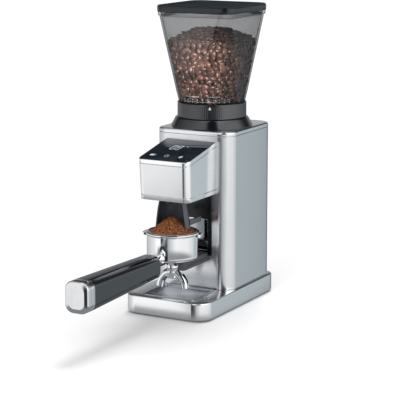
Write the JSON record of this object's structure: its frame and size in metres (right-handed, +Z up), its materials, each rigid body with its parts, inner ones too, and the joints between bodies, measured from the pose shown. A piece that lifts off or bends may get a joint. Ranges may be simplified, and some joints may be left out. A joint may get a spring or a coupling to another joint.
{
  "type": "burr coffee grinder",
  "caption": "Steel coffee grinder with a tapered bean hopper on a turning grind ring, a sloping touch panel over a fork that holds a loaded portafilter, and a base with a catch tray.",
  "frame": {"origin": "on the table, under the middle of the object's bounding box, portafilter included", "axes": "+X to the right as seen from the front, +Y to the back, +Z up; the portafilter's handle points along -Y"},
  "size_m": [0.13, 0.433, 0.4192],
  "materials": {
    "brushed_steel": "satin",
    "chrome": "polished",
    "basket_steel": "polished",
    "mirror": "polished",
    "dark_steel": "satin",
    "burr_steel": "satin",
    "aluminium": "cast",
    "brass": "machined",
    "copper_winding": "enamelled wire",
    "black_plastic": "matte",
    "satin_black": "satin",
    "control_glass": "gloss",
    "grip_black": "satin",
    "fork_grey": "matte",
    "white_nylon": "matte",
    "smoked_plastic": "clear, smoked",
    "rubber": "matte",
    "silicone": "matte",
    "circuit_board": "satin",
    "coffee_beans": "oily satin",
    "ground_coffee": "granular"
  },
  "bodies": {
    "root": {"base_shell": "brushed_steel", "base_plate": "dark_steel", "foot_front_left": "rubber", "foot_front_right": "rubber", "foot_rear_left": "rubber", "foot_rear_right": "rubber", "base_screw_front_left": "dark_steel", "base_screw_front_right": "dark_steel", "base_screw_rear_left": "dark_steel", "base_screw_rear_right": "dark_steel", "column_shell": "brushed_steel", "top_cover": "brushed_steel", "vent_panel": "black_plastic", "cord_gland": "rubber", "bay_liner": "black_plastic", "bay_mirror": "mirror", "fork": "fork_grey", "fork_screw_left": "dark_steel", "fork_screw_right": "dark_steel", "head_shell": "brushed_steel", "head_top_frame": "brushed_steel", "head_floor": "brushed_steel", "control_glass": "control_glass", "control_board": "circuit_board", "display_module": "black_plastic", "grounds_chute": "black_plastic", "spout_guard": "black_plastic", "collar_skirt": "satin_black", "grinding_chamber": "aluminium", "shaft_bearing_lower": "dark_steel", "shaft_bearing_upper": "dark_steel", "lay_axle": "dark_steel", "gearbox_plate": "aluminium", "gearbox_cover": "aluminium", "motor_can": "dark_steel", "motor_end_cap": "black_plastic", "chassis": "black_plastic", "main_board": "circuit_board"},
    "hopper": {"bean_hopper": "smoked_plastic", "coffee_beans": "coffee_beans"},
    "lid": {"hopper_lid": "satin_black", "lid_seal": "silicone"},
    "ring": {"grind_ring": "satin_black"},
    "upper_burr": {"burr_carrier": "black_plastic", "ring_burr": "burr_steel"},
    "motor_rotor": {"armature": "copper_winding", "motor_pinion": "brass"},
    "layshaft": {"lay_gear": "white_nylon"},
    "lower_burr": {"burr_shaft": "dark_steel", "cone_burr": "burr_steel", "burr_bolt": "dark_steel", "sweeper": "white_nylon", "output_gear": "white_nylon"},
    "tray": {"catch_tray": "brushed_steel"},
    "portafilter": {"portafilter_cup": "chrome", "portafilter_basket": "basket_steel", "portafilter_spout": "chrome", "portafilter_grip": "grip_black", "portafilter_cap": "chrome", "ground_coffee": "ground_coffee"}
  },
  "joints": [
    {"name": "hopper_lift", "type": "slide", "parent": "root", "child": "hopper", "axis": [0, 0, 1], "range_m": [0, 0.08]},
    {"name": "lid_lift", "type": "slide", "parent": "hopper", "child": "lid", "axis": [0, 0, 1], "range_m": [0, 0.06]},
    {"name": "grind_adjust", "type": "hinge", "parent": "root", "child": "ring", "pos_m": [0, 0.1375, 0.2623], "axis": [0, 0, 1], "range_deg": [-78, 22]},
    {"name": "burr_gap", "type": "slide", "parent": "ring", "child": "upper_burr", "axis": [0, 0, 1], "range_m": [-0.00026, 0.0009]},
    {"name": "motor_spin", "type": "hinge", "parent": "root", "child": "motor_rotor", "pos_m": [0, 0.1375, 0.08], "axis": [0, 0, 1], "continuous": true},
    {"name": "lay_spin", "type": "hinge", "parent": "root", "child": "layshaft", "pos_m": [0, 0.1675, 0.121], "axis": [0, 0, 1], "continuous": true},
    {"name": "burr_spin", "type": "hinge", "parent": "root", "child": "lower_burr", "pos_m": [0, 0.1375, 0.193], "axis": [0, 0, 1], "continuous": true},
    {"name": "tray_lift", "type": "slide", "parent": "root", "child": "tray", "axis": [0, 0, 1], "range_m": [0, 0.008]},
    {"name": "portafilter_slide", "type": "slide", "parent": "root", "child": "portafilter", "axis": [0, -1, 0], "range_m": [0, 0.12]}
  ],
  "couplings": [
    {"joint": "burr_gap", "follows": "grind_adjust", "m_per_rad": -0.000637},
    {"joint": "lay_spin", "follows": "motor_spin", "ratio": -0.33333},
    {"joint": "burr_spin", "follows": "motor_spin", "ratio": 0.11111}
  ]
}
